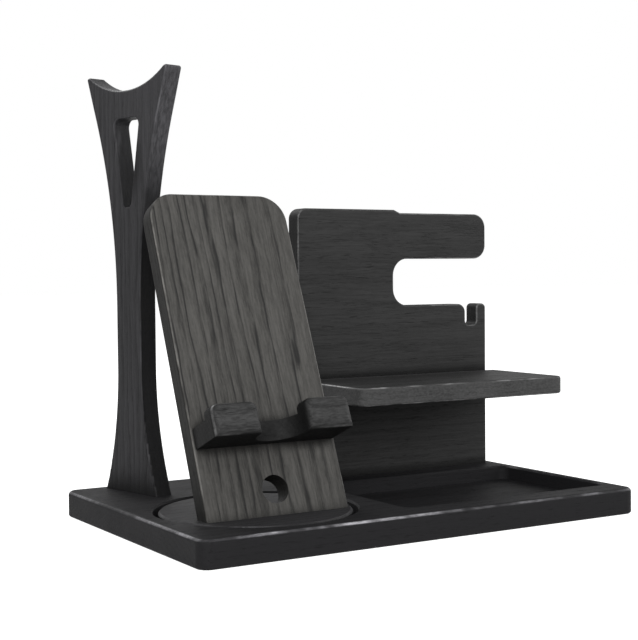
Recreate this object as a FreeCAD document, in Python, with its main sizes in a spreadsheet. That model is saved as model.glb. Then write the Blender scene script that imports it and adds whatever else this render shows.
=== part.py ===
import FreeCAD, Part
import math
import os
import Sketcher
from FreeCAD import Placement, Rotation, Vector

# Desk docking station in black stained wood: a base board carrying an upright board with an
# arm, a glasses shelf, a key peg and a rear tablet ledge, a flared headphone stand, and a
# leaning phone board on a disc that turns in the base.
# Frame: origin at the middle of the base board's underside, +X to the right along the base,
# +Y to the back, +Z up. All lengths are in mm and all angles in degrees.

SIZES = {
    # Base board
    "base_length": 289.6,
    "base_depth": 186.0,
    "base_thickness": 15.5,
    "base_corner_radius": 7.0,
    "base_top_round": 2.5,
    "base_under_bevel": 1.0,
    # Rounding of the other boards' edges, and the thickness of the board stock
    "board_thickness": 12.0,
    "edge_round": 1.5,
    # Turntable: place of its axis, disc, gap round it and height above its recess floor
    "disc_from_left": 66.0,
    "disc_from_front": 65.5,
    "disc_radius": 54.0,
    "disc_gap": 3.0,
    "recess_depth": 9.5,
    "recess_rim_bevel": 1.0,
    "disc_drop": 0.3,
    "disc_rim_bevel": 1.2,
    "washer_thickness": 1.0,
    "washer_radius": 22.0,
    "bolt_radius": 3.0,
    "bolt_head_radius": 8.0,
    "bolt_head_height": 2.0,
    "bolt_head_inset": 0.6,
    "bolt_socket_radius": 2.3,
    "bolt_socket_depth": 1.2,
    "insert_radius": 5.0,
    "insert_flange_radius": 7.0,
    "insert_flange_height": 1.2,
    "insert_height": 7.0,
    "swivel_clearance": 0.05,
    "head_clearance": 0.5,
    # Tray sunk into the base
    "tray_width": 98.0,
    "tray_depth": 9.0,
    "tray_left_land": 13.0,
    "tray_right_land": 6.4,
    "tray_back_land": 16.0,
    "tray_corner_radius": 6.0,
    # Upright board with arm, cut-out, key notch and key peg
    "rear_space": 41.0,
    "upright_right_inset": 8.6,
    "upright_width": 147.0,
    "upright_height": 170.5,
    "upright_corner_radius": 6.5,
    "arm_step_drop": 2.0,
    "arm_step_start": 1.0,
    "arm_step_run": 4.7,
    "arm_length": 75.0,
    "arm_height": 29.7,
    "arm_corner_radius": 9.0,
    "cutout_height": 30.3,
    "cutout_corner_radius": 11.0,
    "cutout_lip_radius": 5.5,
    "peg_width": 8.0,
    "peg_corner_radius": 3.0,
    "key_notch_width": 9.0,
    "key_notch_depth": 14.0,
    "key_notch_round": 2.8,
    # Glasses shelf
    "shelf_thickness": 11.0,
    "shelf_depth": 71.0,
    "shelf_rise": 52.2,
    "shelf_overhang": 7.2,
    "shelf_corner_radius": 6.0,
    # Tablet ledge on the back of the upright
    "tablet_ledge_width": 120.0,
    "tablet_ledge_rise": 17.0,
    "tablet_groove": 12.0,
    # Phone board and its ledge
    "phone_lean": 22.3,
    "phone_board_width": 88.0,
    "phone_board_length": 191.0,
    "phone_board_corner_radius": 16.0,
    "phone_board_ahead": 25.1,
    "phone_board_shift": 1.5,
    "cable_hole_radius": 8.0,
    "cable_hole_rise": 14.5,
    "phone_ledge_width": 85.0,
    "phone_ledge_rise": 40.0,
    "phone_groove": 15.0,
    "ledge_reach": 27.0,
    "ledge_seat": 11.4,
    "ledge_height": 18.0,
    "ledge_corner_radius": 4.5,
    "lip_back_round": 1.5,
    "plug_notch_width": 29.0,
    "plug_notch_web": 6.0,
    "plug_notch_radius": 14.0,
    # Headphone stand
    "stand_from_left": 35.1,
    "stand_from_back": 30.2,
    "stand_turn": 12.5,
    "stand_height": 250.3,
    "stand_foot_half": 25.5,
    "stand_waist_half": 12.0,
    "stand_waist_low": 75.0,
    "stand_waist_high": 112.0,
    "stand_horn_start": 230.0,
    "stand_horn_spread": 7.0,
    "stand_horn_tip": 3.0,
    "stand_horn_tip_round": 1.2,
    "stand_flare_radius": 340.0,
    "saddle_radius": 68.0,
    "slot_top": 222.8,
    "slot_bottom": 170.4,
    "slot_top_half": 12.8,
    "slot_bottom_half": 3.4,
    "slot_top_round": 4.5,
    "slot_bottom_round": 3.0,
    # Wood screws and dowels
    "screw_radius": 1.9,
    "screw_head_radius": 3.9,
    "screw_point": 3.0,
    "screw_inset": 0.3,
    "fit_clearance": 0.05,
    "hole_spare": 0.5,
    "base_screw_length": 38.0,
    "shelf_screw_length": 32.0,
    "ledge_screw_length": 25.0,
    "phone_screw_length": 20.0,
    "upright_screw_spacing": 55.0,
    "stand_screw_spacing": 13.0,
    "shelf_screw_spacing": 55.0,
    "phone_screw_spacing": 26.0,
    "phone_screw_setback": 8.7,
    "ledge_screw_spacing": 28.5,
    "dowel_radius": 3.0,
    "dowel_length": 18.0,
    "dowel_in_upright": 8.0,
    "shelf_dowel_spacing": 27.0,
    "tablet_dowel_spacing": 42.0,
}


class Size:
    """A length or angle together with the sheet expression that drives it."""

    def __init__(self, value, text):
        self.value = value
        self.text = text

    def __add__(self, other):
        return Size(self.value + number(other), f"({self.text} + {formula(other)})")

    def __sub__(self, other):
        return Size(self.value - number(other), f"({self.text} - {formula(other)})")

    def __mul__(self, other):
        return Size(self.value * number(other), f"({self.text} * {formula(other)})")

    def __truediv__(self, other):
        return Size(self.value / number(other), f"({self.text} / {formula(other)})")

    def __neg__(self):
        return Size(-self.value, f"(-1 * {self.text})")


def number(size):
    return size.value if isinstance(size, Size) else float(size)


def formula(size):
    return size.text if isinstance(size, Size) else str(size)


def sine(angle):
    return Size(math.sin(math.radians(angle.value)), f"sin({angle.text})")


def cosine(angle):
    return Size(math.cos(math.radians(angle.value)), f"cos({angle.text})")


def square_root(size):
    return Size(math.sqrt(size.value), f"sqrt({size.text})")


class Sheet:
    """The spreadsheet of driving sizes, read as attributes that are Size values."""

    def __init__(self, document, sizes):
        sheet = document.addObject("Spreadsheet::Sheet", "sizes")
        for row, (alias, value) in enumerate(sizes.items(), start=1):
            sheet.set(f"A{row}", alias.replace("_", " "))
            sheet.set(f"B{row}", str(value))
            sheet.setAlias(f"B{row}", alias)
            setattr(self, alias, Size(value, f"sizes.{alias}"))


doc = FreeCAD.newDocument("docking_station")
S = Sheet(doc, SIZES)
doc.recompute()


# ---- Sketches, features and placements bound to the sheet ------------------------------------

def bind(target, path, size):
    """Drives one property of an object from the sheet."""
    target.setExpression(path, formula(size))


def place(target, x=0, y=0, z=0, axis=None, angle=None):
    """Puts an object at x, y, z, turned by an angle about an axis."""
    turn = Rotation(axis, number(angle)) if axis else Rotation()
    target.Placement = Placement(Vector(number(x), number(y), number(z)), turn)
    bind(target, "Placement.Base.x", x)
    bind(target, "Placement.Base.y", y)
    bind(target, "Placement.Base.z", z)
    if axis:
        bind(target, "Placement.Rotation.Angle", angle)


def new_body(label):
    body = doc.addObject("PartDesign::Body", label)
    body.Label = label
    return body


def sketch_on(body, plane_role, height=0, tilt=None):
    """A sketch on one of the body's own planes, raised along its normal and tilted about its X."""
    plane = next(f for f in body.Origin.OriginFeatures if f.Role == plane_role)
    sketch = body.newObject("Sketcher::SketchObject", body.Label + "_sketch")
    sketch.AttachmentSupport = [(plane, "")]
    sketch.MapMode = "FlatFace"
    turn = Rotation(Vector(1, 0, 0), number(tilt)) if tilt is not None else Rotation()
    sketch.AttachmentOffset = Placement(Vector(0, 0, number(height)), turn)
    bind(sketch, "AttachmentOffset.Base.z", height)
    if tilt is not None:
        bind(sketch, "AttachmentOffset.Rotation.Angle", tilt)
    return sketch


def pin_point(sketch, geometry, point, x, y):
    """Holds one sketch point at x, y measured from the sketch's origin."""
    for kind, size in (("DistanceX", x), ("DistanceY", y)):
        held = sketch.addConstraint(
            Sketcher.Constraint(kind, -1, 1, geometry, point, number(size)))
        bind(sketch, f"Constraints[{held}]", size)


def set_radius(sketch, geometry, radius):
    held = sketch.addConstraint(Sketcher.Constraint("Radius", geometry, number(radius)))
    bind(sketch, f"Constraints[{held}]", radius)


def circle(sketch, x, y, radius):
    ring = Part.Circle(Vector(number(x), number(y), 0), Vector(0, 0, 1), number(radius))
    geometry = sketch.addGeometry(ring, False)
    pin_point(sketch, geometry, 3, x, y)
    set_radius(sketch, geometry, radius)


def curved_side(start, end, radius):
    """An arc from start to end, turning left for a positive radius; says if it runs backwards."""
    chord = end - start
    size = abs(radius)
    left = Vector(-chord.y, chord.x, 0).normalize()
    to_centre = math.sqrt(size ** 2 - (chord.Length / 2) ** 2)
    centre = (start + end) / 2 + left * (to_centre if radius > 0 else -to_centre)
    first, last = (start, end) if radius > 0 else (end, start)
    angles = [math.atan2(p.y - centre.y, p.x - centre.x) for p in (first, last)]
    if angles[1] < angles[0]:
        angles[1] += 2 * math.pi
    arc = Part.ArcOfCircle(Part.Circle(centre, Vector(0, 0, 1), size), *angles)
    return arc, radius < 0


def outline(sketch, corners, curves=None):
    """A closed outline through corners; curves gives the radius of the sides that are arcs."""
    curves = curves or {}
    points = [Vector(number(x), number(y), 0) for x, y in corners]
    sides = []
    for index, start in enumerate(points):
        end = points[(index + 1) % len(points)]
        shape, backwards = Part.LineSegment(start, end), False
        if index in curves:
            radius = curves[index]
            shape, backwards = curved_side(start, end, number(radius))
        geometry = sketch.addGeometry(shape, False)
        sides.append((geometry, 2 if backwards else 1, 1 if backwards else 2))
    for index, (geometry, first, last) in enumerate(sides):
        following = sides[(index + 1) % len(sides)]
        sketch.addConstraint(
            Sketcher.Constraint("Coincident", geometry, last, following[0], following[1]))
        pin_point(sketch, geometry, first, *corners[index])
        if index in curves:
            radius = curves[index]
            set_radius(sketch, geometry, radius if number(radius) > 0 else -radius)


def rectangle(sketch, left, front, right, back):
    outline(sketch, [(left, front), (right, front), (right, back), (left, back)])


def pad(body, sketch, length, symmetric=False):
    feature = body.newObject("PartDesign::Pad", body.Label + "_pad")
    feature.Profile = sketch
    feature.SideType = "Symmetric" if symmetric else "One side"
    feature.Length = number(length)
    bind(feature, "Length", length)
    doc.recompute()
    return feature


def pocket(body, sketch, depth=None, reverse=False):
    """Cuts a sketch into the body, right through when no depth is given."""
    volume = body.Shape.Volume
    feature = body.newObject("PartDesign::Pocket", body.Label + "_pocket")
    feature.Profile = sketch
    feature.Reversed = reverse
    if depth is None:
        feature.Type = "ThroughAll"
    else:
        feature.Length = number(depth)
        bind(feature, "Length", depth)
    doc.recompute()
    if not body.Shape.Volume < volume:
        raise RuntimeError(f"{body.Label}: {feature.Label} removes nothing")
    return feature


def round_edges(body, radius, wanted, kind="Fillet"):
    """Rounds, or chamfers, every edge of the body that passes the test."""
    base = body.Tip
    names = [f"Edge{number_}" for number_, edge in enumerate(base.Shape.Edges, start=1)
             if wanted(edge)]
    if not names:
        raise RuntimeError(f"{body.Label}: no edge to round")
    feature = body.newObject("PartDesign::" + kind, body.Label + "_" + kind.lower())
    feature.Base = (base, names)
    path = "Radius" if kind == "Fillet" else "Size"
    setattr(feature, path, number(radius))
    bind(feature, path, radius)
    doc.recompute()
    return feature


TOUCH = 0.01
RIGHT_ANGLE = 90
FULL_TURN = 360
SIDES = (-1, 1)


def close(first, second):
    return abs(number(first) - number(second)) < TOUCH


def runs_along(edge, direction):
    """True for a straight edge parallel to a direction."""
    if not isinstance(edge.Curve, Part.Line):
        return False
    return edge.Curve.Direction.cross(direction).Length < TOUCH


def flat_at(edge, axis, level):
    """True for an edge lying wholly in the plane where an axis reads level."""
    box = edge.BoundBox
    low, high = {"x": (box.XMin, box.XMax), "y": (box.YMin, box.YMax),
                 "z": (box.ZMin, box.ZMax)}[axis]
    return close(low, level) and close(high, level)


def full_circle(edge, radius):
    """True for a whole circle of the given radius."""
    return isinstance(edge.Curve, Part.Circle) and len(edge.Vertexes) == 1 \
        and close(edge.Curve.Radius, radius)


# ---- Places that several pieces share ---------------------------------------------------------

X, Y, Z = Vector(1, 0, 0), Vector(0, 1, 0), Vector(0, 0, 1)

base_right = S.base_length / 2
base_back = S.base_depth / 2
disc_x = S.disc_from_left - base_right
disc_y = S.disc_from_front - base_back
disc_thickness = S.recess_depth - S.washer_thickness - S.disc_drop
recess_floor = S.base_thickness - S.recess_depth
disc_underside = recess_floor + S.washer_thickness
disc_top = disc_underside + disc_thickness
recess_radius = S.disc_radius + S.disc_gap
bolt_bore = S.bolt_radius + S.swivel_clearance

upright_back = base_back - S.rear_space
upright_front = upright_back - S.board_thickness
upright_right = base_right - S.upright_right_inset
upright_left = upright_right - S.upright_width
upright_middle = upright_right - S.upright_width / 2
upright_top = S.base_thickness + S.upright_height
shelf_underside = S.base_thickness + S.shelf_rise
shelf_middle_height = shelf_underside + S.shelf_thickness / 2
shelf_right = upright_right + S.shelf_overhang
peg_left = upright_right - S.peg_width
key_notch_left = peg_left - S.key_notch_width
arm_top = upright_top - S.arm_step_drop
arm_root = upright_right - S.arm_length
arm_underside = arm_top - S.arm_height
peg_top = arm_underside - S.cutout_height
key_notch_floor = peg_top - S.key_notch_depth
tablet_ledge_underside = S.base_thickness + S.tablet_ledge_rise
tablet_dowel_height = tablet_ledge_underside + S.ledge_seat / 2

stand_x = S.stand_from_left - base_right
stand_y = base_back - S.stand_from_back
phone_front = disc_y - S.phone_board_ahead
phone_middle = disc_x + S.phone_board_shift
lean_sine, lean_cosine = sine(S.phone_lean), cosine(S.phone_lean)
tray_left = disc_x + recess_radius + S.tray_left_land
tray_right = base_right - S.tray_right_land
tray_back = upright_front - S.tray_back_land
tray_floor = S.base_thickness - S.tray_depth
dowel_in_ledges = S.dowel_length - S.dowel_in_upright + S.hole_spare
phone_screw_spots = [(S.phone_screw_spacing * side, S.phone_screw_setback) for side in SIDES]
ledge_screw_spots = [(S.ledge_screw_spacing * side, S.ledge_seat / 2) for side in SIDES]

screw_bore = S.screw_radius + S.fit_clearance
screw_head_height = S.screw_head_radius - S.screw_radius
screw_mouth = screw_head_height + S.screw_inset
dowel_bore = S.dowel_radius + S.fit_clearance

# Two screws hold the headphone stand and three hold the upright, all driven up through the base.
stand_screw_spots = [
    (stand_x - sine(S.stand_turn) * side * S.stand_screw_spacing,
     stand_y + cosine(S.stand_turn) * side * S.stand_screw_spacing)
    for side in SIDES]
upright_screw_spots = [
    (upright_middle + S.upright_screw_spacing * side, upright_back - S.board_thickness / 2)
    for side in (-1, 0, 1)]
base_screw_spots = stand_screw_spots + upright_screw_spots


# ---- Base board -------------------------------------------------------------------------------

def make_base_board():
    """Flat board with the turntable recess, the tray and every hole drilled from below."""
    body = new_body("base_board")
    plan = sketch_on(body, "XY_Plane")
    rectangle(plan, -base_right, -base_back, base_right, base_back)
    pad(body, plan, S.base_thickness)
    round_edges(body, S.base_corner_radius, lambda edge: runs_along(edge, Z))
    outer_rims = body.Shape.BoundBox

    tray = sketch_on(body, "XY_Plane", S.base_thickness)
    rectangle(tray, tray_left, tray_back - S.tray_width, tray_right, tray_back)
    pocket(body, tray, S.tray_depth)
    round_edges(body, S.tray_corner_radius,
                lambda edge: runs_along(edge, Z) and close(edge.BoundBox.ZMin, tray_floor))
    recess = sketch_on(body, "XY_Plane", S.base_thickness)
    circle(recess, disc_x, disc_y, recess_radius)
    pocket(body, recess, S.recess_depth)

    def on_outer_rim(edge):
        """True for the top edges that follow the board's own outline."""
        box = edge.BoundBox
        return flat_at(edge, "z", S.base_thickness) and (
            close(box.XMin, outer_rims.XMin) or close(box.XMax, outer_rims.XMax)
            or close(box.YMin, outer_rims.YMin) or close(box.YMax, outer_rims.YMax))

    round_edges(body, S.base_top_round, on_outer_rim)
    outer_flat = number(base_back - S.base_top_round)
    round_edges(body, S.recess_rim_bevel,
                lambda edge: flat_at(edge, "z", S.base_thickness)
                and edge.BoundBox.YMax < outer_flat - TOUCH
                and edge.BoundBox.YMin > TOUCH - outer_flat
                and abs(edge.CenterOfMass.x) < number(base_right - S.base_top_round) - TOUCH,
                "Chamfer")
    round_edges(body, S.base_under_bevel, lambda edge: flat_at(edge, "z", 0), "Chamfer")

    bore = sketch_on(body, "XY_Plane")
    circle(bore, disc_x, disc_y, bolt_bore)
    pocket(body, bore, reverse=True)
    head_pocket = sketch_on(body, "XY_Plane")
    circle(head_pocket, disc_x, disc_y, S.bolt_head_radius + S.head_clearance)
    pocket(body, head_pocket, S.bolt_head_inset + S.bolt_head_height, reverse=True)
    drill_for_screws(body, base_screw_spots)
    return body


def drill_for_screws(body, spots):
    """Countersunk through holes up from the body's underside."""
    holes = sketch_on(body, "XY_Plane")
    for x, y in spots:
        circle(holes, x, y, screw_bore)
    pocket(body, holes, reverse=True)
    round_edges(body, screw_mouth,
                lambda edge: flat_at(edge, "z", 0) and full_circle(edge, screw_bore), "Chamfer")


def drill_pilots(body, spots, screw_length, through, level=0):
    """Blind holes up from a level face for screws that first pass through a lower board."""
    holes = sketch_on(body, "XY_Plane", level)
    for x, y in spots:
        circle(holes, x, y, screw_bore)
    pocket(body, holes, screw_length + S.screw_inset - through + S.hole_spare, reverse=True)


# ---- Turntable --------------------------------------------------------------------------------

def make_turntable_disc():
    """Round disc that turns in the base's recess, bored for its insert and the board's screws."""
    body = new_body("turntable_disc")
    plan = sketch_on(body, "XY_Plane")
    circle(plan, 0, 0, S.disc_radius)
    pad(body, plan, disc_thickness)
    round_edges(body, S.disc_rim_bevel, lambda edge: flat_at(edge, "z", disc_thickness),
                "Chamfer")
    for radius, depth in ((S.insert_radius, S.insert_height + S.hole_spare),
                          (S.insert_flange_radius, S.insert_flange_height)):
        seat = sketch_on(body, "XY_Plane")
        circle(seat, 0, 0, radius + S.fit_clearance)
        pocket(body, seat, depth, reverse=True)
    drill_for_screws(body, [(S.phone_board_shift + x, y - S.phone_board_ahead)
                            for x, y in phone_screw_spots])
    place(body, disc_x, disc_y, disc_underside)
    return body


def turned_piece(label, corners):
    """A solid of revolution about Z from its half profile of radius and height."""
    body = new_body(label)
    profile = sketch_on(body, "XZ_Plane")
    outline(profile, corners)
    feature = body.newObject("PartDesign::Revolution", label + "_revolution")
    feature.Profile = profile
    feature.ReferenceAxis = (profile, ["V_Axis"])
    feature.Angle = FULL_TURN
    doc.recompute()
    return body


def make_glide_washer():
    """Thin slippery ring between the recess floor and the disc."""
    body = turned_piece("glide_washer", [
        (bolt_bore, 0), (S.washer_radius, 0),
        (S.washer_radius, S.washer_thickness), (bolt_bore, S.washer_thickness)])
    place(body, disc_x, disc_y, recess_floor)
    return body


def make_pivot_bolt():
    """Flat-headed bolt with a driving socket, up through the base into the disc's insert."""
    reach = disc_underside + S.insert_height - S.bolt_head_inset
    bevel = S.bolt_head_height / 2
    body = turned_piece("pivot_bolt", [
        (0, S.bolt_socket_depth), (S.bolt_socket_radius, S.bolt_socket_depth),
        (S.bolt_socket_radius, 0), (S.bolt_head_radius - bevel, 0),
        (S.bolt_head_radius, bevel), (S.bolt_head_radius, S.bolt_head_height),
        (S.bolt_radius, S.bolt_head_height), (S.bolt_radius, reach), (0, reach)])
    place(body, disc_x, disc_y, S.bolt_head_inset)
    return body


def make_pivot_insert():
    """Flanged threaded sleeve sunk into the disc's underside."""
    bore = S.bolt_radius + S.fit_clearance
    body = turned_piece("pivot_insert", [
        (bore, 0), (S.insert_flange_radius, 0),
        (S.insert_flange_radius, S.insert_flange_height),
        (S.insert_radius, S.insert_flange_height),
        (S.insert_radius, S.insert_height), (bore, S.insert_height)])
    place(body, disc_x, disc_y, disc_underside)
    return body


# ---- Phone board and its ledge ----------------------------------------------------------------

def make_phone_board():
    """Leaning board cut level at its foot, with a cable hole and large rounded top corners."""
    body = new_body("phone_board")
    side = sketch_on(body, "YZ_Plane")
    outline(side, [
        (0, 0), (S.board_thickness / lean_cosine, 0),
        (lean_sine * S.phone_board_length + lean_cosine * S.board_thickness,
         lean_cosine * S.phone_board_length - lean_sine * S.board_thickness),
        (lean_sine * S.phone_board_length, lean_cosine * S.phone_board_length)])
    pad(body, side, S.phone_board_width, symmetric=True)
    through = Vector(0, number(lean_cosine), -number(lean_sine))
    round_edges(body, S.phone_board_corner_radius, lambda edge: runs_along(edge, through))

    def outlines_a_face(edge):
        """True for the edges of the two leaning faces, apart from the foot's."""
        depth = edge.CenterOfMass.dot(through)
        in_face = close(depth, 0) or close(depth, S.board_thickness)
        return in_face and edge.CenterOfMass.z > TOUCH and not runs_along(edge, through)

    round_edges(body, S.edge_round, outlines_a_face)

    face_holes = sketch_on(body, "XZ_Plane", tilt=-S.phone_lean)
    circle(face_holes, 0, S.cable_hole_rise, S.cable_hole_radius)
    for x, y in ledge_screw_spots:
        circle(face_holes, x, y + S.phone_ledge_rise, screw_bore)
    pocket(body, face_holes)
    round_edges(body, screw_mouth,
                lambda edge: full_circle(edge, screw_bore)
                and close(edge.CenterOfMass.dot(through), S.board_thickness), "Chamfer")
    drill_pilots(body, phone_screw_spots, S.phone_screw_length, disc_thickness)
    place(body, phone_middle, phone_front, disc_top)
    return body


def make_phone_ledge():
    """Ledge across the phone board: two rounded lips either side of a deep plug notch."""
    body = new_body("phone_ledge")
    side = sketch_on(body, "YZ_Plane")
    outline(side, [
        (0, 0), (S.ledge_seat, 0), (S.ledge_seat, S.phone_groove),
        (S.ledge_height, S.phone_groove), (S.ledge_height, S.ledge_reach), (0, S.ledge_reach)])
    pad(body, side, S.phone_ledge_width, symmetric=True)
    notch = sketch_on(body, "XZ_Plane")
    half_notch = S.plug_notch_width / 2
    rectangle(notch, -half_notch, S.plug_notch_web, half_notch, S.ledge_reach)
    pocket(body, notch)
    round_edges(body, S.plug_notch_radius,
                lambda edge: runs_along(edge, Y) and close(edge.BoundBox.ZMax, S.plug_notch_web))
    round_edges(body, S.ledge_corner_radius,
                lambda edge: flat_at(edge, "z", S.ledge_reach)
                or (runs_along(edge, Z) and close(edge.CenterOfMass.y, S.ledge_height)))
    round_edges(body, S.lip_back_round,
                lambda edge: flat_at(edge, "z", S.phone_groove)
                and edge.CenterOfMass.y > number(S.ledge_seat) + TOUCH)
    drill_pilots(body, ledge_screw_spots, S.ledge_screw_length, S.board_thickness)
    place(body, phone_middle, phone_front + lean_sine * S.phone_ledge_rise,
          disc_top + lean_cosine * S.phone_ledge_rise, X, -S.phone_lean + RIGHT_ANGLE)
    return body


# ---- Upright board, shelf and tablet ledge ----------------------------------------------------

def make_upright_board():
    """Upright with an arm over a deep cut-out, and a key peg behind a narrow notch."""
    body = new_body("upright_board")
    front = sketch_on(body, "XZ_Plane")
    outline(front, [
        (upright_left, S.base_thickness), (upright_right, S.base_thickness),
        (upright_right, peg_top), (peg_left, peg_top),
        (peg_left, key_notch_floor), (key_notch_left, key_notch_floor),
        (key_notch_left, peg_top), (arm_root, peg_top),
        (arm_root, arm_underside), (upright_right, arm_underside),
        (upright_right, arm_top), (arm_root + S.arm_step_start + S.arm_step_run, arm_top),
        (arm_root + S.arm_step_start, upright_top), (upright_left, upright_top)])
    pad(body, front, S.board_thickness)

    def corner(x, z):
        """Finds the edge through the board at one corner of its outline."""
        return lambda edge: runs_along(edge, Y) \
            and close(edge.CenterOfMass.x, x) and close(edge.CenterOfMass.z, z)

    for radius, corners in (
            (S.upright_corner_radius, [(upright_left, upright_top)]),
            (S.arm_corner_radius, [(upright_right, arm_top), (upright_right, arm_underside)]),
            (S.cutout_corner_radius, [(arm_root, arm_underside), (arm_root, peg_top)]),
            (S.cutout_lip_radius, [(key_notch_left, peg_top)]),
            (S.key_notch_round, [(key_notch_left, key_notch_floor),
                                 (peg_left, key_notch_floor)]),
            (S.peg_corner_radius, [(peg_left, peg_top), (upright_right, peg_top)])):
        tests = [corner(x, z) for x, z in corners]
        round_edges(body, radius, lambda edge: any(test(edge) for test in tests))
    round_edges(body, S.edge_round,
                lambda edge: edge.CenterOfMass.z > number(S.base_thickness) + TOUCH
                and (flat_at(edge, "y", 0) or flat_at(edge, "y", -S.board_thickness)))

    shelf_holes = sketch_on(body, "XZ_Plane")
    for side in SIDES:
        circle(shelf_holes, upright_middle + S.shelf_screw_spacing * side,
               shelf_middle_height, screw_bore)
    pocket(body, shelf_holes, reverse=True)
    round_edges(body, screw_mouth,
                lambda edge: flat_at(edge, "y", 0) and full_circle(edge, screw_bore), "Chamfer")
    dowel_depth = S.dowel_in_upright + S.hole_spare
    front_dowels = sketch_on(body, "XZ_Plane", S.board_thickness)
    drill_dowel_pair(body, front_dowels, upright_middle, S.shelf_dowel_spacing,
                     shelf_middle_height, dowel_depth)
    back_dowels = sketch_on(body, "XZ_Plane")
    drill_dowel_pair(body, back_dowels, upright_middle, S.tablet_dowel_spacing,
                     tablet_dowel_height, dowel_depth, reverse=True)
    drill_pilots(body, [(x, -S.board_thickness / 2) for x, y in upright_screw_spots],
                 S.base_screw_length, S.base_thickness, S.base_thickness)
    place(body, 0, upright_back, 0)
    return body


def drill_dowel_pair(body, sketch, middle, spacing, height, depth, reverse=False):
    """Two blind dowel holes, evenly either side of the middle."""
    for side in SIDES:
        circle(sketch, spacing * side + middle, height, dowel_bore)
    pocket(body, sketch, depth, reverse)


def make_glasses_shelf():
    """Shelf butted against the upright's front, a little wider than the upright."""
    body = new_body("glasses_shelf")
    plan = sketch_on(body, "XY_Plane")
    rectangle(plan, upright_left, -S.shelf_depth, shelf_right, 0)
    pad(body, plan, S.shelf_thickness)
    round_edges(body, S.shelf_corner_radius,
                lambda edge: runs_along(edge, Z) and close(edge.CenterOfMass.y, -S.shelf_depth))
    round_edges(body, S.edge_round,
                lambda edge: (flat_at(edge, "z", 0) or flat_at(edge, "z", S.shelf_thickness))
                and edge.CenterOfMass.y < -TOUCH)
    screw_holes = sketch_on(body, "XZ_Plane")
    for side in SIDES:
        circle(screw_holes, upright_middle + S.shelf_screw_spacing * side,
               S.shelf_thickness / 2, screw_bore)
    pocket(body, screw_holes, S.shelf_screw_length + S.screw_inset - S.board_thickness
           + S.hole_spare, reverse=True)
    dowel_holes = sketch_on(body, "XZ_Plane")
    drill_dowel_pair(body, dowel_holes, upright_middle, S.shelf_dowel_spacing,
                     S.shelf_thickness / 2, dowel_in_ledges, reverse=True)
    place(body, 0, upright_front, shelf_underside)
    return body


def make_tablet_ledge():
    """Ledge on the upright's back, grooved to hold a tablet against the board."""
    body = new_body("tablet_ledge")
    side = sketch_on(body, "YZ_Plane")
    outline(side, [
        (0, 0), (S.ledge_reach, 0), (S.ledge_reach, S.ledge_height),
        (S.tablet_groove, S.ledge_height), (S.tablet_groove, S.ledge_seat), (0, S.ledge_seat)])
    pad(body, side, S.tablet_ledge_width, symmetric=True)
    round_edges(body, S.ledge_corner_radius,
                lambda edge: runs_along(edge, Z) and close(edge.CenterOfMass.y, S.ledge_reach))
    round_edges(body, S.edge_round, lambda edge: flat_at(edge, "z", S.ledge_height))
    dowel_holes = sketch_on(body, "XZ_Plane")
    drill_dowel_pair(body, dowel_holes, 0, S.tablet_dowel_spacing, S.ledge_seat / 2,
                     dowel_in_ledges)
    place(body, upright_middle, upright_back, tablet_ledge_underside)
    return body


# ---- Headphone stand --------------------------------------------------------------------------

def make_headphone_stand():
    """Board that narrows to a waist and flares into two horns round a saddle, with a slot."""
    waist_run = S.stand_foot_half - S.stand_waist_half
    foot_radius = (S.stand_waist_low * S.stand_waist_low + waist_run * waist_run) / waist_run / 2
    flare_rise = S.stand_horn_start - S.stand_waist_high
    flare = S.stand_flare_radius
    horn_half = S.stand_waist_half + flare - square_root(flare * flare - flare_rise * flare_rise)
    tip_half = horn_half + S.stand_horn_spread
    body = new_body("headphone_stand")
    front = sketch_on(body, "XZ_Plane")
    right = [
        (S.stand_foot_half, 0), (S.stand_waist_half, S.stand_waist_low),
        (S.stand_waist_half, S.stand_waist_high), (horn_half, S.stand_horn_start),
        (tip_half, S.stand_height), (tip_half - S.stand_horn_tip, S.stand_height)]
    left = [(-x, z) for x, z in reversed(right)]
    outline(front, right + left, {
        0: -foot_radius, 2: -flare, 5: -S.saddle_radius, 8: -flare, 10: -foot_radius})
    pad(body, front, S.board_thickness, symmetric=True)
    round_edges(body, S.stand_horn_tip_round,
                lambda edge: runs_along(edge, Y) and close(edge.CenterOfMass.z, S.stand_height))
    slot = sketch_on(body, "XZ_Plane", S.board_thickness / 2)
    outline(slot, [
        (-S.slot_bottom_half, S.slot_bottom), (S.slot_bottom_half, S.slot_bottom),
        (S.slot_top_half, S.slot_top), (-S.slot_top_half, S.slot_top)])
    pocket(body, slot)
    for radius, height in ((S.slot_top_round, S.slot_top), (S.slot_bottom_round, S.slot_bottom)):
        round_edges(body, radius,
                    lambda edge: runs_along(edge, Y) and close(edge.CenterOfMass.z, height)
                    and abs(edge.CenterOfMass.x) < number(S.slot_top_half) + TOUCH)
    half = S.board_thickness / 2
    round_edges(body, S.edge_round,
                lambda edge: (flat_at(edge, "y", half) or flat_at(edge, "y", -half))
                and edge.CenterOfMass.z > TOUCH)
    drill_pilots(body, [(S.stand_screw_spacing * side, 0) for side in SIDES],
                 S.base_screw_length, S.base_thickness)
    place(body, stand_x, stand_y, S.base_thickness, Z, S.stand_turn + RIGHT_ANGLE)
    return body


# ---- Screws and dowels ------------------------------------------------------------------------

def joined(label, pieces):
    """One node holding several loose pieces of the same kind."""
    node = doc.addObject("Part::MultiFuse", label)
    node.Label = label
    node.Shapes = pieces
    doc.recompute()
    return node


def primitive(kind, label, sizes, x, y, z):
    """A Part cone or cylinder with its sizes and place bound to the sheet."""
    solid = doc.addObject("Part::" + kind, label)
    for path, size in sizes.items():
        bind(solid, path, size)
    place(solid, x, y, z)
    return solid


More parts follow.
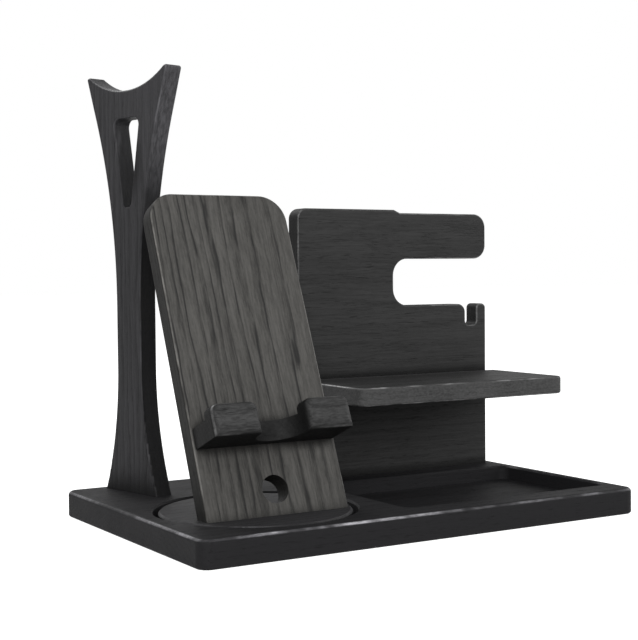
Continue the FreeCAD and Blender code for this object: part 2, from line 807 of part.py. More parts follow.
def wood_screws(label, spots, length):
    """Countersunk wood screws driven along +Z, their heads sunk below the entry face."""
    pieces = []
    shank_start = S.screw_inset + screw_head_height
    shank_length = length - screw_head_height - S.screw_point
    for x, y in spots:
        head = {"Radius1": S.screw_head_radius, "Radius2": S.screw_radius,
                "Height": screw_head_height}
        shank = {"Radius": S.screw_radius, "Height": shank_length}
        point = {"Radius1": S.screw_radius, "Radius2": 0, "Height": S.screw_point}
        pieces.append(primitive("Cone", label + "_head", head, x, y, S.screw_inset))
        pieces.append(primitive("Cylinder", label + "_shank", shank, x, y, shank_start))
        pieces.append(primitive("Cone", label + "_point", point, x, y,
                                shank_start + shank_length))
    return joined(label, pieces)


def dowels(label, spacing):
    """Two dowels along +Z, one either side of the middle."""
    pin = {"Radius": S.dowel_radius, "Height": S.dowel_length}
    return joined(label, [primitive("Cylinder", label + "_pin", pin, spacing * side, 0, 0)
                          for side in SIDES])


def make_base_screws():
    return wood_screws("base_screws", base_screw_spots, S.base_screw_length)


def make_phone_board_screws():
    node = wood_screws("phone_board_screws", phone_screw_spots, S.phone_screw_length)
    place(node, phone_middle, phone_front, disc_underside)
    return node


def make_ledge_screws():
    """Screws through the phone board's back into the ledge."""
    node = wood_screws("ledge_screws", ledge_screw_spots, S.ledge_screw_length)
    rise = S.phone_ledge_rise
    place(node, phone_middle,
          phone_front + lean_sine * rise + lean_cosine * S.board_thickness,
          disc_top + lean_cosine * rise - lean_sine * S.board_thickness,
          X, -S.phone_lean + RIGHT_ANGLE)
    return node


def make_shelf_screws():
    """Screws through the upright's back into the shelf."""
    spots = [(S.shelf_screw_spacing * side, 0) for side in SIDES]
    node = wood_screws("shelf_screws", spots, S.shelf_screw_length)
    place(node, upright_middle, upright_back, shelf_middle_height, X, RIGHT_ANGLE)
    return node


def make_shelf_dowels():
    node = dowels("shelf_dowels", S.shelf_dowel_spacing)
    place(node, upright_middle, upright_front + S.dowel_in_upright, shelf_middle_height,
          X, RIGHT_ANGLE)
    return node


def make_tablet_ledge_dowels():
    node = dowels("tablet_ledge_dowels", S.tablet_dowel_spacing)
    place(node, upright_middle, upright_back - S.dowel_in_upright, tablet_dowel_height,
          X, -RIGHT_ANGLE)
    return node


# ---- Assembly ---------------------------------------------------------------------------------

NODES = [
    make_base_board(), make_base_screws(),
    make_turntable_disc(), make_glide_washer(), make_pivot_bolt(), make_pivot_insert(),
    make_phone_board(), make_phone_board_screws(), make_phone_ledge(), make_ledge_screws(),
    make_upright_board(), make_glasses_shelf(), make_shelf_screws(), make_shelf_dowels(),
    make_tablet_ledge(), make_tablet_ledge_dowels(), make_headphone_stand(),
]

doc.recompute()
for item in doc.Objects:
    if {"Invalid", "Error"} & set(item.State):
        raise RuntimeError(f"{item.Label} did not build: {item.State}")
os.makedirs("parts", exist_ok=True)
for node in NODES:
    if node.Shape.isNull() or not node.Shape.isValid():
        raise RuntimeError(f"{node.Label} has no valid shape")
for node in NODES:
    node.Shape.exportStep(f"parts/{node.Label}.step")
    box = node.Shape.BoundBox
    print(f"{node.Label}: {len(node.Shape.Solids)} solids, {node.Shape.Volume:.0f} mm3,"
          f" x {box.XMin:.2f} {box.XMax:.2f} y {box.YMin:.2f} {box.YMax:.2f}"
          f" z {box.ZMin:.2f} {box.ZMax:.2f}")
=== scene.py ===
"""Looks of the desk docking station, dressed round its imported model. Lengths are in metres."""
import math

import bmesh
import bpy
from mathutils import Matrix, Vector


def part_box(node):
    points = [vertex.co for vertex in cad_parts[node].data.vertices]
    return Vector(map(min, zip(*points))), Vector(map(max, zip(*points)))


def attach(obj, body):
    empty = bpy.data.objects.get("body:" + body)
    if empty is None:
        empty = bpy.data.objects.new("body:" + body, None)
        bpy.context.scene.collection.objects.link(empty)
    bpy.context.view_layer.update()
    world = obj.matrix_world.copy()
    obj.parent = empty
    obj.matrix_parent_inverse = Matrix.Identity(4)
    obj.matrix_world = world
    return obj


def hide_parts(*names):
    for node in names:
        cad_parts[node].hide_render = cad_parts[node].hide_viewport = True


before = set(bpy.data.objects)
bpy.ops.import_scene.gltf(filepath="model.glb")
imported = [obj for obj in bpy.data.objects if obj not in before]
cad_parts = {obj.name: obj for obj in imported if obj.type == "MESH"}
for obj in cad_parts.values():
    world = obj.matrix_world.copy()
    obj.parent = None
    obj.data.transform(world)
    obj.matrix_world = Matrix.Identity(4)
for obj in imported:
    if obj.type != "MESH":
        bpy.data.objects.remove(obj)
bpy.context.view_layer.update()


# ---- Base board --------------------------------------------------------------------------------
# A board of solid open-pored hardwood with the turntable recess and the tray routed into it.
# Its edges are eased by hand, and it is stained black and rubbed with a satin oil, which leaves
# the pores open and the sharpest edges a little paler. Their pale lines stand partly for that
# wear and partly for a painted highlight.
MM = 0.001
ACROSS, AWAY, UP = Vector((1, 0, 0)), Vector((0, 1, 0)), Vector((0, 0, 1))
# Stain colours. Side is the colour of sides, ends and shaded corners: partly stain, partly painted
# shade. Rubbed is the colour of pale eased edges: partly wear, partly a painted highlight.
BLACK_STAIN = {"pore": 0.005, "soft": 0.016, "dense": 0.026, "side": 0.004, "rubbed": 0.14}
VIOLET_CAST = (1.005, 0.988, 1.055)
NO_CAST = (1, 1, 1)

# The marks of the wood: their length along the grain and their size across it, in mm.
SWAY, DRIFT, RIPPLE = (80, 18, 18), (150, 8, 8), (14, 5, 5)
STREAK, PORE, FLECK, FLECKED_PATCH = (30, 2.5, 2.5), (8, 0.45, 0.45), (16, 7, 1.0), (110, 45, 45)
FIBRE_WIDTH, BLOTCH, SPECK, SCRATCH = 1.2, (60, 25, 25), (2.0, 1.2, 1.2), (16, 1.5, 1.5)
PALE_EDGE_STRETCH, PALE_EDGE_SPOT = (22, 22, 22), (5, 1.5, 1.5)
WOOD_RELIEF = 0.12 * MM


class Wire:
    """One output of a finish's shader. Python's operators on it add Math nodes."""

    def __init__(self, finish, socket):
        self.finish, self.socket = finish, socket

    def math(self, operation, *values):
        return self.finish.node("Math", {"operation": operation}, dict(enumerate(values)))

    def __add__(self, other):
        return self.math("ADD", self, other)

    def __sub__(self, other):
        return self.math("SUBTRACT", self, other)

    def __rsub__(self, other):
        return self.math("SUBTRACT", other, self)

    def __mul__(self, other):
        return self.math("MULTIPLY", self, other)

    def __truediv__(self, other):
        return self.math("DIVIDE", self, other)

    def __mod__(self, other):
        return self.math("FLOORED_MODULO", self, other)

    def __abs__(self):
        return self.math("ABSOLUTE", self)

    __radd__, __rmul__ = __add__, __mul__

    def at_least(self, floor):
        """Lifts a mask of 0 to 1, so that it runs from the floor to 1."""
        return floor + self * (1 - floor)


class Finish:
    """The shader of a material or of the world, with one method that adds any node."""

    def __init__(self, owner):
        self.owner = owner
        owner.use_nodes = True
        self.nodes, self.links = owner.node_tree.nodes, owner.node_tree.links
        self.nodes.clear()

    def node(self, kind, settings, inputs, output=0):
        """Adds a node, sets it up and then feeds its sockets with values or wires."""
        node = self.nodes.new("ShaderNode" + kind)
        for setting, value in settings.items():
            setattr(node, setting, value)
        for socket, value in inputs.items():
            if isinstance(value, Wire):
                self.links.new(value.socket, node.inputs[socket])
            else:
                node.inputs[socket].default_value = value
        return Wire(self, node.outputs[output]) if node.outputs else node

    def vector(self, operation, *vectors, output="Vector"):
        """Vector maths. What it gives is a vector, unless the output is Value."""
        return self.node("VectorMath", {"operation": operation}, dict(enumerate(vectors)), output)

    def between(self, value, low, high):
        """Rises smoothly from 0 to 1 while the value goes from low to high."""
        return self.node("MapRange", {"interpolation_type": "SMOOTHSTEP"},
                         {"Value": value, "From Min": low, "From Max": high})

    def tint(self, amount, base, other):
        """Colour that goes from the base colour to the other one with the amount."""
        return self.node("Mix", {"data_type": "RGBA"}, {0: amount, 6: base, 7: other}, 2)

    def cells(self, place, size, detail):
        """Noise whose cells have the given size along each axis, in the place's own unit."""
        return self.node("TexNoise", {}, {
            "Vector": self.vector("DIVIDE", place, size), "Scale": 1.0, "Detail": detail})

    def rubbed_edges(self, width):
        """Is 1 on outer edges, over about this width, and 0 on flats and in inner corners."""
        eased = self.node("Bevel", {"samples": 6}, {"Radius": width})
        facing = self.node("NewGeometry", {}, {}, "Normal")
        turned_away = 1 - self.vector("DOT_PRODUCT", eased, facing, output="Value")
        return self.between(turned_away, 0.008, 0.09) * self.open_air(2 * width, 0.72)

    def open_air(self, reach, shut=0.6):
        """Is 0 where what stands within reach shuts the light out, and 1 in the open."""
        light = self.node("AmbientOcclusion", {"samples": 6}, {"Distance": reach}, "AO")
        return self.between(light, shut, 0.92)

    def surface(self, colour, roughness, bump, depth, **fixed):
        """Ends the shader in a Principled BSDF, with a bump of the given depth."""
        normal = self.node("Bump", {}, {"Height": bump, "Distance": depth, "Strength": 1.0})
        shader = self.node("BsdfPrincipled", {}, {
            "Base Color": colour, "Roughness": roughness, "Normal": normal, **fixed})
        self.node("OutputMaterial", {}, {"Surface": shader})
        return self.owner


def grey(level, cast=NO_CAST):
    """A grey paint with a slight cast of red, green or blue."""
    return *(level * part for part in cast), 1


def paint(node, material):
    """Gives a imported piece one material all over."""
    for material_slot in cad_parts[node].material_slots:
        material_slot.material = material


def stained_wood(node, grain, face, heart, stain, cast=NO_CAST, ring_width=3.6, sway=5.0,
                 ripple=1.1, figure=0.3, streaks=0.5, flecks=0.0, fibre_length=28, mottle=0.3,
                 sawn=0.6, reach=8, shaded_place=None, edge_wear_and_highlight=0.6, eased_band=(0.3, 0.6, 0.8, 0.96),
                 paler_spot=None, outline=None, sheen=0.1, polish=0.5):
    """Stained wood of one board: its grain's direction, its face's, and a point in the trunk's heart.

    The rings sway and ripple along the trunk. The figure is the share of the colour that they
    make, against the fibres, and each starts with a streak of open pores. Flecks are short marks
    where the grain dips into the board. Sides and ends take the side colour, less evenly with more
    mottle: partly the stain that they soak up, partly painted light and shade set per board for how
    the lamps fall on them. Corners out of reach of the open room, and a shaded place given as its
    middle and half sizes, take it too as painted shade. Eased edges are paler over a band of slopes,
    partly wear and partly a painted highlight, most near a paler spot, given with its reach and how
    far it pales whole sides, which is partly painted light too. Outline is the high corner of a
    board whose inner edges get no pale line.
    """
    wood = Finish(bpy.data.materials.new(node + "_wood"))
    coordinates = wood.node("TexCoord", {}, {}, "Object")
    trunk = wood.node("Mapping", {"vector_type": "TEXTURE"}, {
        "Vector": coordinates, "Location": heart,
        "Rotation": grain.to_track_quat("X", "Z").to_euler(), "Scale": (MM, MM, MM)})
    bend = (wood.cells(trunk, SWAY, 2.0) - 0.5) * sway \
        + (wood.cells(trunk, DRIFT, 1.0) - 0.5) * ring_width \
        + (wood.cells(trunk, RIPPLE, 2.0) - 0.5) * ripple
    grown = wood.vector("ADD", trunk, wood.node("CombineXYZ", {}, {"Y": bend, "Z": bend}))
    radius = wood.vector("LENGTH", wood.vector("MULTIPLY", grown, (0, 1, 1)), output="Value")

    ring = radius / ring_width % 1
    dense = wood.between(ring, 0.1, 0.7) * (1 - wood.between(ring, 0.95, 1.0))
    streak = wood.between(ring, 0, 0.08) * (1 - wood.between(ring, 0.1, 0.32)) \
        * wood.between(wood.cells(grown, STREAK, 2.0), 0.4, 0.6)
    fibre_size = (fibre_length, FIBRE_WIDTH, FIBRE_WIDTH)
    fibre = wood.between(wood.cells(grown, fibre_size, 3.0), 0.25, 0.75)
    pore = wood.between(wood.cells(grown, PORE, 1.0), 0.56, 0.68) * (1 - dense * 0.7)
    fleck = wood.between(wood.cells(grown, FLECK, 2.0), 0.62, 0.68) \
        * wood.between(wood.cells(trunk, FLECKED_PATCH, 1.0), 0.38, 0.56)
    blotch = wood.cells(trunk, BLOTCH, 3.0)
    speck = wood.cells(trunk, SPECK, 4.0)

    facing = abs(wood.vector("DOT_PRODUCT", wood.node("TexCoord", {}, {}, "Normal"), face,
                             output="Value"))
    # Painted shade: an ambient occlusion mask, together with the shaded place, darkens sides and
    # corners and keeps pale edge lines off them.
    unshaded = wood.open_air(reach * MM)
    if shaded_place:
        middle, half_sizes = shaded_place
        offset = wood.vector("DIVIDE", wood.vector("SUBTRACT", coordinates, middle), half_sizes)
        offset = wood.vector("LENGTH", offset, output="Value")
        unshaded = unshaded * wood.between(offset, 0.72, 0.95).at_least(0.25)
    broad = wood.between(facing, 0.3, 0.9)
    side = 1 - broad * unshaded
    eased = unshaded * unshaded * unshaded * wood.between(facing, eased_band[0], eased_band[1]) \
        * (1 - wood.between(facing, eased_band[2], eased_band[3]))
    if shaded_place:
        eased = eased * wood.between(offset, 1.2, 1.4).at_least(0.3)
    if outline:
        inward = wood.vector("SUBTRACT", wood.vector("ABSOLUTE", coordinates), outline)
        across, along = [wood.node("SeparateXYZ", {}, {0: inward}, axis) for axis in "XY"]
        eased = eased * wood.between(across.math("MAXIMUM", across, along), -8 * MM, -5 * MM)
    rubbed = eased * wood.between(wood.cells(trunk, PALE_EDGE_STRETCH, 2.0), 0.38, 0.62).at_least(0.1) \
        * wood.between(wood.cells(trunk, PALE_EDGE_SPOT, 3.0), 0.3, 0.65).at_least(0.4)

    light = fibre * (0.8 - figure) + dense * figure + (blotch - 0.45) * 0.8 + (speck - 0.5) * 0.5
    colour = wood.tint(light, grey(stain["soft"], cast), grey(stain["dense"], cast))
    # Painted light and shade: sides, ends and shaded corners take the side colour, partly stain too.
    colour = wood.tint(side * (sawn + (blotch + speck - 1) * mottle), colour,
                       grey(stain["side"], cast))
    dark = streak.math("MAXIMUM", streak * streaks, fleck * flecks) * (1 - side * 0.7)
    colour = wood.tint(dark.math("MAXIMUM", dark, pore * 0.4), colour, grey(stain["pore"]))
    # Paler near the given spot: partly wear, partly painted light.
    if paler_spot:
        spot, spread, paled = paler_spot
        near = 1 - wood.between(wood.vector("DISTANCE", coordinates, spot, output="Value"),
                                spread * 0.3, spread)
        scratch = wood.between(wood.cells(trunk, SCRATCH, 3.0), 0.3, 0.7)
        paler = near * (0.35 + scratch * 0.45) * (1 - broad * 0.75) * unshaded
        colour = wood.tint(paler * paled, colour, grey(stain["rubbed"] * 0.8, cast))
        rubbed = rubbed * near.at_least(0.3)
    # Pale eased edges: partly wear, partly a painted highlight.
    colour = wood.tint(rubbed * edge_wear_and_highlight, colour, grey(stain["rubbed"], cast))
    roughness = 0.6 + pore * 0.15 - eased * 0.15 + (blotch - 0.5) * 0.2
    relief = fibre * 0.35 + dense * 0.2 - dark * 0.5 - pore * 0.6
    paint(node, wood.surface(colour, roughness, relief, WOOD_RELIEF,
                             **{"Specular IOR Level": sheen, "Coat Weight": rubbed * polish,
                              "Coat Roughness": 0.35}))


# Painted light: the base's sides take a colour lighter than its top's, and its pale front edge,
# palest round the given spot, is partly wear and partly a painted highlight.
PALEST_EDGE, PALEST_EDGE_REACH = (-0.075, -0.093, 0.015), 105 * MM
stained_wood("base_board", ACROSS, UP, (0, -0.02, -0.09),
             {**BLACK_STAIN, "soft": 0.009, "dense": 0.017, "side": 0.016, "rubbed": 0.38},
             VIOLET_CAST, figure=0.15, streaks=0.15, sawn=0.95, edge_wear_and_highlight=1.0, sheen=0.05,
             paler_spot=(PALEST_EDGE, PALEST_EDGE_REACH, 0), outline=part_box("base_board")[1])


# ---- Turntable ---------------------------------------------------------------------------------
# A round disc cut from a second board of the same wood turns in the base on a nylon washer.
# A flat-headed bolt comes up through the base into a threaded insert in the disc's underside.
BOLT_RADIUS, BOLT_PITCH, BOLT_THREAD_DEPTH, BOLT_NECK = 3.0 * MM, 1.0 * MM, 0.3 * MM, 6.0 * MM
BOLT_HEAD_RADIUS, BOLT_HEAD_HEIGHT, BOLT_HEAD_ROUND = 8.0 * MM, 2.0 * MM, 1.0 * MM
SOCKET_FLAT, SOCKET_DEPTH = 2.0 * MM, 1.2 * MM
SPLIT_ANGLE = math.radians(35)


def steel(name, level, roughness):
    """Turned or rolled steel with faint tool marks and a few brighter rubs."""
    metal = Finish(bpy.data.materials.new(name))
    place = metal.node("TexCoord", {}, {}, "Object")
    tool_marks = metal.cells(place, (0.3 * MM, 0.3 * MM, 2 * MM), 3.0)
    cloud = metal.cells(place, (3 * MM, 3 * MM, 3 * MM), 2.0)
    rubbed = metal.rubbed_edges(0.4 * MM)
    colour = metal.tint(tool_marks * 0.5 + cloud * 0.3, grey(level * 0.7), grey(level * 1.2))
    colour = metal.tint(rubbed * 0.6, colour, grey(0.45))
    return metal.surface(colour, roughness + (cloud - 0.5) * 0.2, tool_marks, 0.02 * MM,
                         Metallic=1.0)


def turned(mesh, rings, start, axis, count=24):
    """Adds a closed piece turned round an axis to a mesh.

    Each ring is a distance along the axis and a radius, which may be a function of the angle.
    """
    turn = axis.to_track_quat("Z", "X").to_matrix()
    loops = []
    for height, radius in rings:
        points = []
        for step in range(count):
            angle = math.tau * step / count
            reach = radius(angle) if callable(radius) else radius
            local = Vector((reach * math.cos(angle), reach * math.sin(angle), height))
            points.append(mesh.verts.new(start + turn @ local))
        loops.append(points)
    for lower, upper in zip(loops, loops[1:]):
        for here, there in zip(range(count), [*range(1, count), 0]):
            mesh.faces.new((lower[here], lower[there], upper[there], upper[here]))
    mesh.faces.new(reversed(loops[0]))
    mesh.faces.new(loops[-1])


def add_piece(name, mesh, material, body, node):
    """Turns a finished mesh into a piece that stands for a node and rides on its body."""
    bmesh.ops.recalc_face_normals(mesh, faces=mesh.faces)
    data = bpy.data.meshes.new(name)
    mesh.to_mesh(data)
    mesh.free()
    data.materials.append(material)
    data.shade_smooth()
    piece = bpy.data.objects.new(name, data)
    bpy.context.scene.collection.objects.link(piece)
    piece.modifiers.new("crisp edges", "EDGE_SPLIT").split_angle = SPLIT_ANGLE
    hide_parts(node)
    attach(piece, body)


def hexagon(angle):
    """Outline of a hexagon socket, seen as a distance from the middle."""
    sixth = math.pi / 3
    return SOCKET_FLAT / math.cos((angle + sixth / 2) % sixth - sixth / 2)


def scaled(outline, share):
    """The same outline, made larger or smaller."""
    return lambda angle: outline(angle) * share


def thread(start, end, crest, depth, pitch):
    """Rings of a threaded shank, four to each turn of the thread."""
    def ring_at(height):
        return lambda angle: crest - depth * abs(2 * ((height / pitch - angle / math.tau) % 1) - 1)
    count = round((end - start) / pitch * 4)
    heights = [start + (end - start) * step / count for step in range(count + 1)]
    return [(height, ring_at(height)) for height in heights]


stained_wood("turntable_disc", ACROSS, UP, (0.03, 0.04, -0.07), BLACK_STAIN, ring_width=4.2,
             figure=0.15, streaks=0.25, cast=VIOLET_CAST)

low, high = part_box("pivot_bolt")
bolt = bmesh.new()
bolt_length, bolt_tip = high.z - low.z, 0.5 * MM
turned(bolt, [
    (SOCKET_DEPTH, scaled(hexagon, 0.92)), (0.15 * MM, hexagon), (0, scaled(hexagon, 1.08)),
    (0, BOLT_HEAD_RADIUS - BOLT_HEAD_ROUND), (0.3 * MM, BOLT_HEAD_RADIUS - 0.5 * MM),
    (BOLT_HEAD_ROUND, BOLT_HEAD_RADIUS), (BOLT_HEAD_HEIGHT, BOLT_HEAD_RADIUS),
    (BOLT_HEAD_HEIGHT, BOLT_RADIUS),
    *thread(BOLT_NECK, bolt_length - bolt_tip, BOLT_RADIUS, BOLT_THREAD_DEPTH, BOLT_PITCH),
    (bolt_length, BOLT_RADIUS - 0.6 * MM)],
       Vector(((low.x + high.x) / 2, (low.y + high.y) / 2, low.z)), UP)
add_piece("turned_pivot_bolt", bolt, steel("bolt_steel", 0.30, 0.32), "turntable",
          "pivot_bolt")
paint("pivot_insert", steel("insert_steel", 0.36, 0.38))

nylon = Finish(bpy.data.materials.new("glide_nylon"))
cloud = nylon.cells(nylon.node("TexCoord", {}, {}, "Object"), (4 * MM, 4 * MM, 4 * MM), 2.0)
NYLON_SHADE, NYLON_PALE = grey(0.62, (1.03, 1, 0.97)), grey(0.74, (1.02, 1, 0.98))
nylon_colour = nylon.tint(cloud, NYLON_SHADE, NYLON_PALE)
paint("glide_washer", nylon.surface(nylon_colour, 0.35 + cloud * 0.2, cloud, 0.02 * MM))


# ---- Phone board -------------------------------------------------------------------------------
# A tall board of the same wood, cut with its grain running up it and leaning back on the disc.
# Its stain is thinner, so the grey streaks of the wood show. Two screws come up through the disc.
GREY_STAIN = {"pore": 0.011, "soft": 0.032, "dense": 0.082, "side": 0.004, "rubbed": 0.19}
OLIVE_CAST = (1.03, 1.0, 0.94)
LEAN = math.radians(22.3)
UPHILL = Vector((0, math.sin(LEAN), math.cos(LEAN)))
FORWARD = Vector((0, -math.cos(LEAN), math.sin(LEAN)))

SCREW_HEAD, SCREW_CREST, SCREW_CORE, THREAD_DEPTH = 3.9 * MM, 1.9 * MM, 1.5 * MM, 0.5 * MM
SCREW_PITCH, SHANK, TAPER, SHARP = 1.6 * MM, 4 * MM, 3 * MM, 0.05 * MM
RECESS_REACH, RECESS_WING, RECESS_DEPTH = 2.1 * MM, math.radians(15), 1.5 * MM
DISC_SCREW_LENGTH = 20 * MM
black_steel = steel("blackened_steel", 0.05, 0.42)

# Its sides take a much darker colour, partly stain and partly painted shade, and its pale edges are
# partly wear and partly a painted highlight.
stained_wood("phone_board", UPHILL, FORWARD, (-0.02, 0.07, 0.0), GREY_STAIN, ring_width=3.3,
             sway=3.0, ripple=0.385, streaks=0.85, fibre_length=12, sawn=0.85, edge_wear_and_highlight=0.8,
             cast=OLIVE_CAST)


def cross(angle):
    """Outline of a cross recess: four narrow wings, seen as a distance from the middle."""
    off_wing = abs((angle + math.pi / 4) % (math.pi / 2) - math.pi / 4)
    if off_wing < RECESS_WING * 1.01:
        return RECESS_REACH / math.cos(off_wing)
    return RECESS_REACH * math.tan(RECESS_WING) / math.sin(off_wing)


def drive_screws(node, axis, length, spots, body):
    """Countersunk wood screws with a cross recess, each driven from the middle of its head."""
    rim, neck = SCREW_HEAD - 0.2 * MM, SCREW_HEAD - SCREW_CREST
    rings = [
        (RECESS_DEPTH, scaled(cross, 0.55)), (0.1 * MM, cross), (0, scaled(cross, 1.1)),
        (0, rim), (0.2 * MM, rim), (neck, SCREW_CORE),
        *thread(neck + SHANK, length - TAPER, SCREW_CREST, THREAD_DEPTH, SCREW_PITCH),
        (length - 1.2 * MM, 0.8 * MM), (length, SHARP)]
    screws = bmesh.new()
    for spot in spots:
        turned(screws, rings, Vector(spot), axis)
    add_piece("driven_" + node, screws, black_steel, body, node)


def pair_ends(node, axis, radius):
    """Where the round ends of a node's two like pieces are, side by side across the object."""
    low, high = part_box(node)
    end = Vector()
    for index, part in enumerate(axis):
        half = radius * math.sqrt(1 - part * part)
        end[index] = high[index] - half if part < 0 else low[index] + half
    return [(x, end.y, end.z) for x in (low.x + radius, high.x - radius)]


drive_screws("phone_board_screws", UP, DISC_SCREW_LENGTH,
             pair_ends("phone_board_screws", UP, SCREW_HEAD), "turntable")


# ---- Phone ledge -------------------------------------------------------------------------------
# One piece of wood, shaped to hold the phone: a groove, two lips in front of it and a round notch
# between them for the plug. Two screws from the board's back hold it.
NOTCH_HALF_SIZES, LEDGE_SCREW_LENGTH = (24 * MM, 16 * MM, 24 * MM), 25 * MM
low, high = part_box("phone_ledge")
ledge_notch = Vector(((low.x + high.x) / 2, low.y + 16 * MM, (low.z + high.z) / 2))
# Painted shade: a long reach of ambient occlusion darkens its sides and underside near the board, and
# the notch, where the plug sits, is shaded darker and keeps no pale edges.
stained_wood("phone_ledge", ACROSS, FORWARD, (0.02, 0.06, -0.04),
             {**BLACK_STAIN, "soft": 0.020, "dense": 0.052}, ring_width=3.2, figure=0.15,
             streaks=0.3, flecks=0.9, fibre_length=4, sawn=0.9, edge_wear_and_highlight=0.7,
             eased_band=(0.2, 0.4, 0.5, 0.7), reach=45,
             shaded_place=(ledge_notch, NOTCH_HALF_SIZES))
drive_screws("ledge_screws", FORWARD, LEDGE_SCREW_LENGTH,
             pair_ends("ledge_screws", FORWARD, SCREW_HEAD), "turntable")


# ---- Upright board -----------------------------------------------------------------------------
# The tallest board, sawn to shape with an arm for the watch, a cut-out and a peg for keys.
# Its grain runs across, and three screws come up into it through the base.
STAND_TURN = Matrix.Rotation(math.radians(12.5), 3, "Z")
STAND_SCREWS_APART, UPRIGHT_SCREWS_APART, BASE_SCREW_LENGTH = 26 * MM, 55 * MM, 38 * MM

# Its sides take an almost full dark side colour: partly stain, partly painted shade.
stained_wood("upright_board", ACROSS, AWAY, (0.05, -0.12, 0.16),
             {**BLACK_STAIN, "soft": 0.021, "dense": 0.034, "rubbed": 0.2}, ring_width=3.8,
             figure=0.15, streaks=0.2, flecks=0.6, sawn=0.97, edge_wear_and_highlight=0.4,
             eased_band=(0.2, 0.45, 0.85, 0.97))

along_stand = STAND_TURN @ AWAY
upright_middle, stand_middle = [
    (low + high) / 2 for low, high in (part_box("upright_board"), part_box("headphone_stand"))]
base_spots = [stand_middle + along_stand * side * STAND_SCREWS_APART / 2 for side in (-1, 1)]
base_spots += [upright_middle + ACROSS * side * UPRIGHT_SCREWS_APART for side in (-1, 0, 1)]
drive_screws("base_screws", UP, BASE_SCREW_LENGTH,
             [(spot.x, spot.y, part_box("base_screws")[0].z) for spot in base_spots], "station")


# ---- Glasses shelf -----------------------------------------------------------------------------
# A shelf with rounded corners on the front of the upright, held by two fluted beech dowels and
# by two screws from the upright's back.
# Its front and ends take a side colour much lighter than its top, with dark mottles: partly stain,
# partly painted light on the front.
stained_wood("glasses_shelf", ACROSS, UP, (0.0, -0.03, -0.02),
             {**BLACK_STAIN, "side": 0.066, "rubbed": 0.26}, ring_width=3.5, flecks=0.3, sawn=0.65,
             mottle=1.3, edge_wear_and_highlight=0.8)
SHELF_SCREW_LENGTH = 32 * MM
drive_screws("shelf_screws", -AWAY, SHELF_SCREW_LENGTH,
             pair_ends("shelf_screws", -AWAY, SCREW_HEAD), "station")

DOWEL_RADIUS, DOWEL_LENGTH, DOWEL_CHAMFER = 3.0 * MM, 18 * MM, 0.8 * MM
FLUTES, FLUTE_DEPTH = 12, 0.3 * MM
BEECH_SHADE, BEECH_PALE = (0.50, 0.32, 0.18, 1), (0.66, 0.47, 0.29, 1)
BEECH_FLECK = (0.33, 0.18, 0.09, 1)
beech = Finish(bpy.data.materials.new("plain_beech"))
beech_place = beech.node("TexCoord", {}, {}, "Object")
beech_fibre = beech.cells(beech_place, (0.5 * MM, 9 * MM, 0.5 * MM), 3.0)
beech_fleck = beech.between(
    beech.cells(beech_place, (0.3 * MM, 2 * MM, 0.3 * MM), 1.0), 0.58, 0.68)
beech_colour = beech.tint(beech_fibre, BEECH_SHADE, BEECH_PALE)
beech.surface(beech.tint(beech_fleck * 0.6, beech_colour, BEECH_FLECK),
              0.6 + beech_fibre * 0.1, beech_fibre, 0.05 * MM)


def fluted(angle):
    """Outline of a dowel with shallow flutes, seen as a distance from the middle."""
    return DOWEL_RADIUS - FLUTE_DEPTH * (1 + math.cos(FLUTES * angle)) / 2


def fit_dowels(node):
    """Two fluted dowels with chamfered ends, lying front to back."""
    end_radius = DOWEL_RADIUS - DOWEL_CHAMFER
    dowels = bmesh.new()
    for spot in pair_ends(node, AWAY, DOWEL_RADIUS):
        turned(dowels, [
            (0, end_radius), (DOWEL_CHAMFER, fluted), (DOWEL_LENGTH - DOWEL_CHAMFER, fluted),
            (DOWEL_LENGTH, end_radius)], Vector(spot), AWAY)
    add_piece("fluted_" + node, dowels, beech.owner, "station", node)


fit_dowels("shelf_dowels")


# ---- Tablet ledge ------------------------------------------------------------------------------
# A ledge across the back of the upright, with a groove for the foot of a tablet or reader.
# It is a strip of the same wood, with its grain along it, glued on over two dowels.
stained_wood("tablet_ledge", ACROSS, AWAY, (0.0, 0.03, -0.04), BLACK_STAIN, ring_width=3.2)
fit_dowels("tablet_ledge_dowels")


# ---- Headphone stand ---------------------------------------------------------------------------
# A flared board with a saddle for the headphones between two horns and a tapered slot below it.
# Its grain runs up it, and it stands turned a little, on two screws through the base.
SLOT_HEIGHT, SLOT_HALF_SIZES, HORN_PALING_REACH = 0.212, (8 * MM, 20 * MM, 38 * MM), 110 * MM
low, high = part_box("headphone_stand")
front_horn = (high.x, low.y, high.z)
# Painted shade in the slot and on its narrow sides; the sides pale towards the front horn's top,
# partly wear and partly painted light.
stained_wood("headphone_stand", UP, STAND_TURN @ ACROSS, (-0.07, 0.03, 0.0),
             {**BLACK_STAIN, "soft": 0.018, "dense": 0.042}, ring_width=4.0, figure=0.3,
             streaks=0.2, sawn=0.9, reach=20,
             paler_spot=(front_horn, HORN_PALING_REACH, 0.7), polish=0.1,
             shaded_place=((stand_middle.x, stand_middle.y, SLOT_HEIGHT), SLOT_HALF_SIZES),
             cast=VIOLET_CAST)


# ---- Studio ------------------------------------------------------------------------------------
# A pale paper floor in a white room, with three soft lamps: one at the front left, one at the
# right and one behind. The camera stands at desk height, at the front left.
def seen_white(finish):
    """Is 1 for the rays that show the white room: those of the camera, of gloss and of glass."""
    path = finish.nodes.new("ShaderNodeLightPath")
    rays = [Wire(finish, path.outputs[name]) for name in
            ("Is Camera Ray", "Is Glossy Ray", "Is Transmission Ray")]
    return rays[0].math("MAXIMUM", rays[0], rays[1].math("MAXIMUM", rays[1], rays[2]))


ROOM_LIGHT, FLOOR_PAINT, FLOOR_LIFT, FLOOR_HALF_SIZE = 0.42, grey(0.55), 0.85, 8.0
LAMP_TARGET = Vector((0, 0, 0.1))

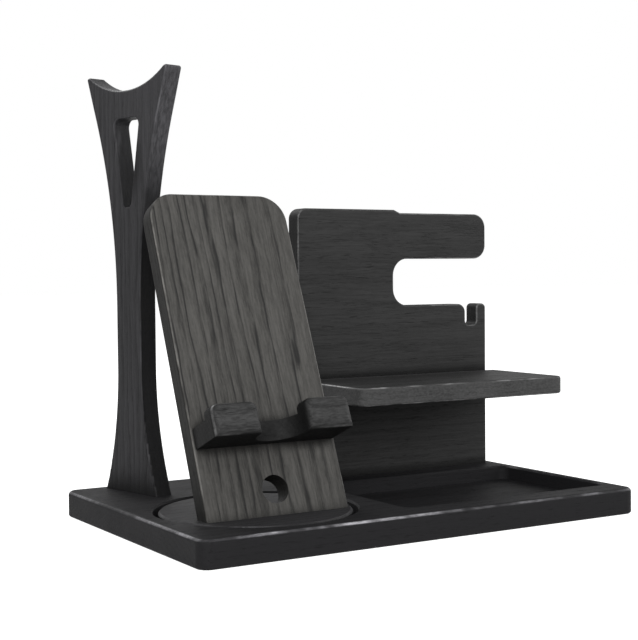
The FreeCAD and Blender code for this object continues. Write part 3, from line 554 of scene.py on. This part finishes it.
room = Finish(bpy.data.worlds.new("white_room"))
bpy.context.scene.world = room.owner
lighting = room.node("Background", {}, {"Color": grey(1), "Strength": ROOM_LIGHT})
backdrop = room.node("Background", {}, {"Color": grey(1), "Strength": 1.0})
room.node("OutputWorld", {}, {
    "Surface": room.node("MixShader", {}, {0: seen_white(room), 1: lighting, 2: backdrop})})

paper = Finish(bpy.data.materials.new("floor_paper"))
paper_shader = paper.node("BsdfDiffuse", {}, {"Color": FLOOR_PAINT})
paper_glow = paper.node("Emission", {}, {
    "Color": grey(1), "Strength": seen_white(paper) * FLOOR_LIFT})
paper.node("OutputMaterial", {}, {
    "Surface": paper.node("AddShader", {}, {0: paper_shader, 1: paper_glow})})
floor_mesh = bmesh.new()
bmesh.ops.create_grid(floor_mesh, size=FLOOR_HALF_SIZE)
floor_data = bpy.data.meshes.new("floor")
floor_mesh.to_mesh(floor_data)
floor_mesh.free()
floor_data.materials.append(paper.owner)
floor = bpy.data.objects.new("floor", floor_data)
bpy.context.scene.collection.objects.link(floor)


def soft_lamp(name, place, size, power):
    """A square lamp that faces the object."""
    data = bpy.data.lights.new(name, "AREA")
    data.size, data.energy = size, power
    lamp = bpy.data.objects.new(name, data)
    lamp.location = place
    lamp.rotation_euler = (LAMP_TARGET - Vector(place)).to_track_quat("-Z", "Y").to_euler()
    bpy.context.scene.collection.objects.link(lamp)


soft_lamp("key_lamp", (-0.75, -1.5, 0.7), 0.8, 25)
soft_lamp("right_lamp", (1.5, -0.4, 0.8), 0.8, 12)
soft_lamp("back_lamp", (-0.25, 1.3, 1.3), 0.9, 16)

CAMERA_PLACE = Vector((-0.43581, -0.68782, 0.14675))
YAW, PITCH_DOWN, ROLL = 0.5437, 0.0360, -0.0090
LENS, SENSOR = 76.34, 36.0
camera_data = bpy.data.cameras.new("camera")
camera_data.sensor_fit, camera_data.sensor_height, camera_data.lens = "VERTICAL", SENSOR, LENS
camera_data.clip_start = 0.01
camera = bpy.data.objects.new("camera", camera_data)
ahead = Vector((math.sin(YAW) * math.cos(PITCH_DOWN), math.cos(YAW) * math.cos(PITCH_DOWN),
                -math.sin(PITCH_DOWN)))
level_right = Vector((math.cos(YAW), -math.sin(YAW), 0))
right = math.cos(ROLL) * level_right + math.sin(ROLL) * level_right.cross(ahead)
camera.matrix_world = Matrix.Translation(CAMERA_PLACE) @ Matrix(
    (right, right.cross(ahead), -ahead)).transposed().to_4x4()
bpy.context.scene.collection.objects.link(camera)
bpy.context.scene.camera = camera
bpy.context.scene.view_settings.view_transform = "Standard"
